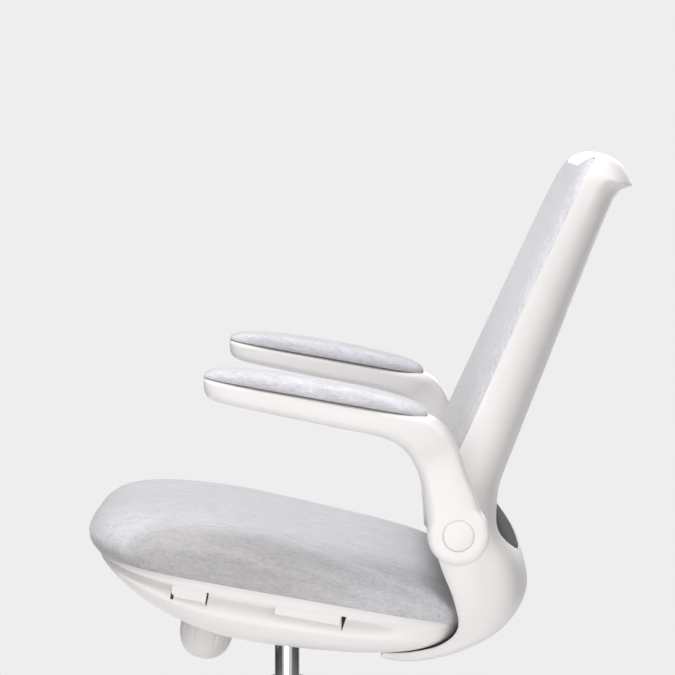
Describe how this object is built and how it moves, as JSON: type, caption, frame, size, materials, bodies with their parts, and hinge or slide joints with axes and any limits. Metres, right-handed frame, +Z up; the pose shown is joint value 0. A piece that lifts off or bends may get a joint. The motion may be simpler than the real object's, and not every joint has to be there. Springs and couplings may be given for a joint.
{
  "type": "office task chair",
  "caption": "White office task chair with grey padded seat and back, flip-up padded arms, one-piece back shell, tilt mechanism, gas lift and star base on twin-wheel casters.",
  "frame": {"origin": "on the floor, on the axis of the gas lift column", "axes": "+Z up, the sitter faces -Y, +X to the sitter's left"},
  "size_m": [0.6502, 0.6917, 0.9112],
  "materials": {
    "white_plastic": "satin",
    "heather_fabric": "matte",
    "dark_plastic": "matte",
    "chrome": "polished",
    "black_steel": "satin",
    "zinc_steel": "satin",
    "grey_nylon": "matte",
    "plywood": "matte",
    "black_nylon": "satin",
    "cast_aluminium": "matte"
  },
  "bodies": {
    "base": {"base_star": "white_plastic", "column_tube": "black_steel", "guide_bush": "black_nylon", "thrust_bearing": "zinc_steel"},
    "piston": {"piston_rod": "zinc_steel", "column_clip": "black_steel"},
    "mechanism": {"gas_cylinder": "chrome", "mechanism_housing": "black_steel", "tilt_pin": "zinc_steel"},
    "valve": {"valve_pin": "zinc_steel"},
    "lock": {"lock_slider": "black_nylon"},
    "lever": {"lever_rod": "black_steel", "lever_paddle": "black_nylon"},
    "seat": {"tilt_plate": "black_steel", "tension_stud": "zinc_steel", "tension_spring": "zinc_steel", "seat_pan": "white_plastic", "seat_board": "plywood", "seat_cushion": "heather_fabric", "seat_bolt_1": "zinc_steel", "seat_bolt_2": "zinc_steel", "seat_bolt_3": "zinc_steel", "seat_bolt_4": "zinc_steel", "back_bracket": "cast_aluminium", "back_bolt_1": "zinc_steel", "back_bolt_2": "zinc_steel", "back_bolt_3": "zinc_steel", "back_shell": "white_plastic", "lumbar_panel": "dark_plastic", "back_board": "black_nylon", "back_pad": "heather_fabric", "left_arm_axle": "zinc_steel", "right_arm_axle": "zinc_steel"},
    "knob": {"tension_knob": "white_plastic"},
    "left_arm": {"left_arm_beam": "white_plastic", "left_arm_cap": "white_plastic", "left_arm_pad": "heather_fabric"},
    "right_arm": {"right_arm_beam": "white_plastic", "right_arm_cap": "white_plastic", "right_arm_pad": "heather_fabric"},
    "caster_1": {"caster_1_stem": "zinc_steel", "caster_1_hood": "white_plastic"},
    "caster_1_pair": {"caster_1_wheels": "grey_nylon"},
    "caster_2": {"caster_2_stem": "zinc_steel", "caster_2_hood": "white_plastic"},
    "caster_2_pair": {"caster_2_wheels": "grey_nylon"},
    "caster_3": {"caster_3_stem": "zinc_steel", "caster_3_hood": "white_plastic"},
    "caster_3_pair": {"caster_3_wheels": "grey_nylon"},
    "caster_4": {"caster_4_stem": "zinc_steel", "caster_4_hood": "white_plastic"},
    "caster_4_pair": {"caster_4_wheels": "grey_nylon"},
    "caster_5": {"caster_5_stem": "zinc_steel", "caster_5_hood": "white_plastic"},
    "caster_5_pair": {"caster_5_wheels": "grey_nylon"}
  },
  "joints": [
    {"name": "swivel", "type": "hinge", "parent": "base", "child": "piston", "pos_m": [0, 0, 0.1], "axis": [0, 0, 1], "continuous": true},
    {"name": "lift", "type": "slide", "parent": "piston", "child": "mechanism", "axis": [0, 0, 1], "range_m": [-0.055, 0.045]},
    {"name": "lock_pull", "type": "slide", "parent": "mechanism", "child": "lock", "axis": [-1, 0, 0], "range_m": [0, 0.008]},
    {"name": "lever_lift", "type": "hinge", "parent": "lock", "child": "lever", "pos_m": [-0.053, 0, 0.3834], "axis": [0, 1, 0], "range_deg": [0, 4], "stiffness_Nm_per_rad": 8, "springref_deg": -5.73},
    {"name": "valve_press", "type": "slide", "parent": "mechanism", "child": "valve", "axis": [0, 0, -1], "range_m": [0, 0.0044]},
    {"name": "tilt", "type": "hinge", "parent": "mechanism", "child": "seat", "pos_m": [0, -0.05, 0.385], "axis": [-1, 0, 0], "range_deg": [-10, 7], "deforming": ["tension_spring"]},
    {"name": "tension_turn", "type": "hinge", "parent": "seat", "child": "knob", "pos_m": [0, -0.09888, 0.3266], "axis": [0, 0.1736, 0.9848], "range_deg": [-720, 720]},
    {"name": "left_arm_flip", "type": "hinge", "parent": "seat", "child": "left_arm", "pos_m": [0.27, 0.20041, 0.49214], "axis": [-1, 0, 0], "range_deg": [0, 90]},
    {"name": "right_arm_flip", "type": "hinge", "parent": "seat", "child": "right_arm", "pos_m": [-0.27, 0.20041, 0.49214], "axis": [-1, 0, 0], "range_deg": [0, 90]},
    {"name": "caster_1_swivel", "type": "hinge", "parent": "base", "child": "caster_1", "pos_m": [0, 0.285, 0.07], "axis": [0, 0, 1], "continuous": true},
    {"name": "caster_2_swivel", "type": "hinge", "parent": "base", "child": "caster_2", "pos_m": [-0.27105, 0.08807, 0.07], "axis": [0, 0, 1], "continuous": true},
    {"name": "caster_3_swivel", "type": "hinge", "parent": "base", "child": "caster_3", "pos_m": [-0.16752, -0.23057, 0.07], "axis": [0, 0, 1], "continuous": true},
    {"name": "caster_4_swivel", "type": "hinge", "parent": "base", "child": "caster_4", "pos_m": [0.16752, -0.23057, 0.07], "axis": [0, 0, 1], "continuous": true},
    {"name": "caster_5_swivel", "type": "hinge", "parent": "base", "child": "caster_5", "pos_m": [0.27105, 0.08807, 0.07], "axis": [0, 0, 1], "continuous": true},
    {"name": "caster_1_roll", "type": "hinge", "parent": "caster_1", "child": "caster_1_pair", "pos_m": [0, 0.305, 0.02452], "axis": [1, 0, 0], "continuous": true},
    {"name": "caster_2_roll", "type": "hinge", "parent": "caster_2", "child": "caster_2_pair", "pos_m": [-0.29007, 0.09425, 0.02452], "axis": [0.309, 0.9511, 0], "continuous": true},
    {"name": "caster_3_roll", "type": "hinge", "parent": "caster_3", "child": "caster_3_pair", "pos_m": [-0.17927, -0.24675, 0.02452], "axis": [-0.809, 0.5878, 0], "continuous": true},
    {"name": "caster_4_roll", "type": "hinge", "parent": "caster_4", "child": "caster_4_pair", "pos_m": [0.17927, -0.24675, 0.02452], "axis": [-0.809, -0.5878, 0], "continuous": true},
    {"name": "caster_5_roll", "type": "hinge", "parent": "caster_5", "child": "caster_5_pair", "pos_m": [0.29007, 0.09425, 0.02452], "axis": [0.309, -0.9511, 0], "continuous": true}
  ],
  "couplings": [
    {"joint": "valve_press", "follows": "lever_lift", "m_per_rad": 0.06}
  ]
}
